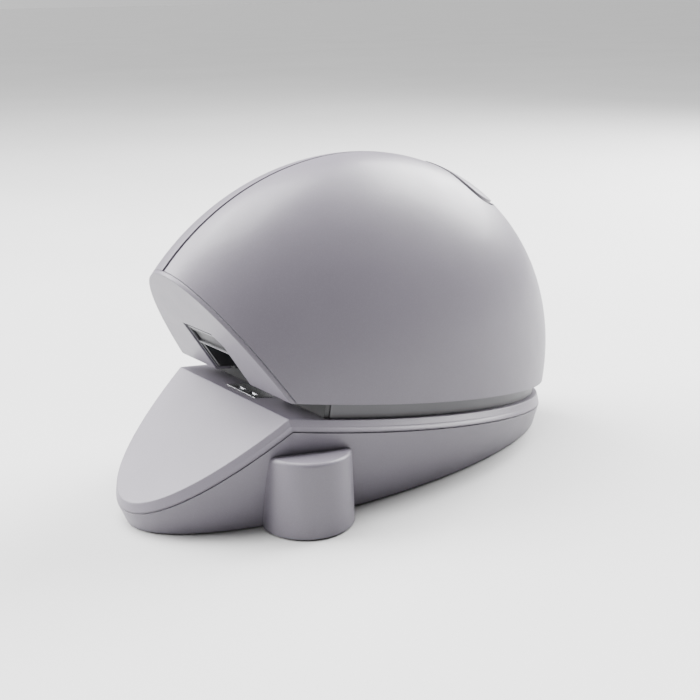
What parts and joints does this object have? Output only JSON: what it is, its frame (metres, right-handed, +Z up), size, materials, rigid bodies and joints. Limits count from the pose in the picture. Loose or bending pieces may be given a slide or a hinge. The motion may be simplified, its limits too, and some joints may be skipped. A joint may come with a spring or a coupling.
{
  "type": "electric stapler",
  "caption": "Electric desk stapler: domed two-part head with a front-loading staple magazine, driven by a motor, gears and lever, on a wedge-shaped base with a paper mouth.",
  "frame": {"origin": "on the table under the middle of the bounding box", "axes": "+Z up, +Y to the rear along the length, paper goes in from -Y, +X to the left of a user who faces the paper mouth"},
  "size_m": [0.0908, 0.174, 0.1071],
  "materials": {
    "silver_plastic": "semi-gloss moulded ABS, silver grey",
    "grey_plastic": "satin moulded ABS",
    "dark_plastic": "dark moulded plastic",
    "nose_trim": "satin trim",
    "black_steel": "blackened steel",
    "black_rubber": "matt rubber",
    "zinc_screw": "zinc plated",
    "polished_steel": "polished",
    "sheet_steel": "zinc plated sheet",
    "spring_steel": "drawn wire",
    "staple_wire": "galvanised wire",
    "white_nylon": "natural nylon",
    "red_nylon": "black nylon",
    "brass": "machined",
    "copper": "wound copper and steel laminations",
    "board_green": "glass epoxy laminate",
    "board_parts": "moulded component bodies"
  },
  "bodies": {
    "housing": {"paper_stop": "dark_plastic", "base_shell": "silver_plastic", "deck_cover": "silver_plastic", "base_plate": "dark_plastic", "rubber_feet": "black_rubber", "base_screws": "zinc_screw", "power_inlet": "dark_plastic", "anvil_plate": "polished_steel", "neck_collar": "grey_plastic", "left_shell": "silver_plastic", "right_shell": "silver_plastic", "front_bezel": "silver_plastic", "head_floor": "dark_plastic", "head_screws": "zinc_screw", "button_hinge_pin": "polished_steel", "left_frame": "sheet_steel", "right_frame": "sheet_steel", "frame_spacers": "sheet_steel", "magazine_rails": "white_nylon", "driver_guides": "white_nylon", "lever_pivot_pin": "polished_steel", "crank_axle": "polished_steel", "idler_axle": "polished_steel", "motor_can": "sheet_steel", "motor_end_cap": "dark_plastic", "gear_plate": "sheet_steel", "trigger_pin": "polished_steel", "trigger_switch": "dark_plastic", "home_switch": "dark_plastic", "link_guide": "white_nylon", "release_spring": "spring_steel", "circuit_board": "board_green", "board_standoffs": "board_parts", "board_parts": "board_parts"},
    "magazine": {"magazine_channel": "black_steel", "staple_rail": "sheet_steel", "spring_guide_rod": "polished_steel", "staple_strip": "staple_wire", "magazine_nose": "dark_plastic", "nose_trim": "nose_trim", "nose_window": "dark_plastic", "pusher_spring": "spring_steel"},
    "staple_pusher": {"pusher": "red_nylon"},
    "driver": {"driver_blade": "sheet_steel", "driver_holder": "sheet_steel", "driver_pin": "polished_steel"},
    "lever": {"drive_lever": "sheet_steel"},
    "crank": {"crank_gear": "white_nylon", "crank_pin": "polished_steel"},
    "idler": {"idler_pinion": "white_nylon", "idler_wheel": "white_nylon"},
    "motor_armature": {"motor_pinion": "brass", "motor_shaft": "polished_steel", "motor_rotor": "copper"},
    "trigger": {"paper_trigger": "red_nylon"},
    "button": {"release_button": "silver_plastic"},
    "link": {"release_link": "white_nylon"}
  },
  "joints": [
    {"name": "magazine_slide", "type": "slide", "parent": "housing", "child": "magazine", "axis": [0, -0.9823, 0.1876], "range_m": [0, 0.055]},
    {"name": "pusher_slide", "type": "slide", "parent": "magazine", "child": "staple_pusher", "axis": [0, 0.9823, -0.1876], "range_m": [0, 0.022], "stiffness_N_per_m": 8, "springref_m": -0.03, "deforming": ["pusher_spring"]},
    {"name": "crank_turn", "type": "hinge", "parent": "housing", "child": "crank", "pos_m": [0, -0.00376, 0.06207], "axis": [1, 0, 0], "range_deg": [0, 180]},
    {"name": "lever_swing", "type": "hinge", "parent": "housing", "child": "lever", "pos_m": [0, 0.02031, 0.05747], "axis": [1, 0, 0], "range_deg": [0, 16.45]},
    {"name": "driver_stroke", "type": "slide", "parent": "housing", "child": "driver", "axis": [0, 0.1876, 0.9823], "range_m": [-0.0133, 0]},
    {"name": "idler_turn", "type": "hinge", "parent": "housing", "child": "idler", "pos_m": [0, 0.01678, 0.06539], "axis": [1, 0, 0], "range_deg": [-600.1, 0]},
    {"name": "motor_turn", "type": "hinge", "parent": "housing", "child": "motor_armature", "pos_m": [0, 0.03377, 0.0713], "axis": [1, 0, 0], "range_deg": [0, 3000.5]},
    {"name": "trigger_tilt", "type": "hinge", "parent": "housing", "child": "trigger", "pos_m": [0, -0.03015, 0.04379], "axis": [1, 0, 0], "range_deg": [0, 18], "stiffness_Nm_per_rad": 0.001, "springref_deg": -17.19},
    {"name": "button_press", "type": "hinge", "parent": "housing", "child": "button", "pos_m": [0, 0.03398, 0.09596], "axis": [-1, 0, 0], "range_deg": [0, 4.5], "stiffness_Nm_per_rad": 0.6, "springref_deg": -2.86},
    {"name": "link_slide", "type": "slide", "parent": "housing", "child": "link", "axis": [0, -0.1876, -0.9823], "range_m": [0, 0.0018], "deforming": ["release_spring"]}
  ],
  "couplings": [
    {"joint": "crank_turn", "follows": "driver_stroke", "rad_per_m": -236.21},
    {"joint": "lever_swing", "follows": "driver_stroke", "rad_per_m": -21.59},
    {"joint": "idler_turn", "follows": "driver_stroke", "rad_per_m": 787.37},
    {"joint": "motor_turn", "follows": "driver_stroke", "rad_per_m": -3936.8},
    {"joint": "link_slide", "follows": "button_press", "m_per_rad": 0.0212}
  ]
}
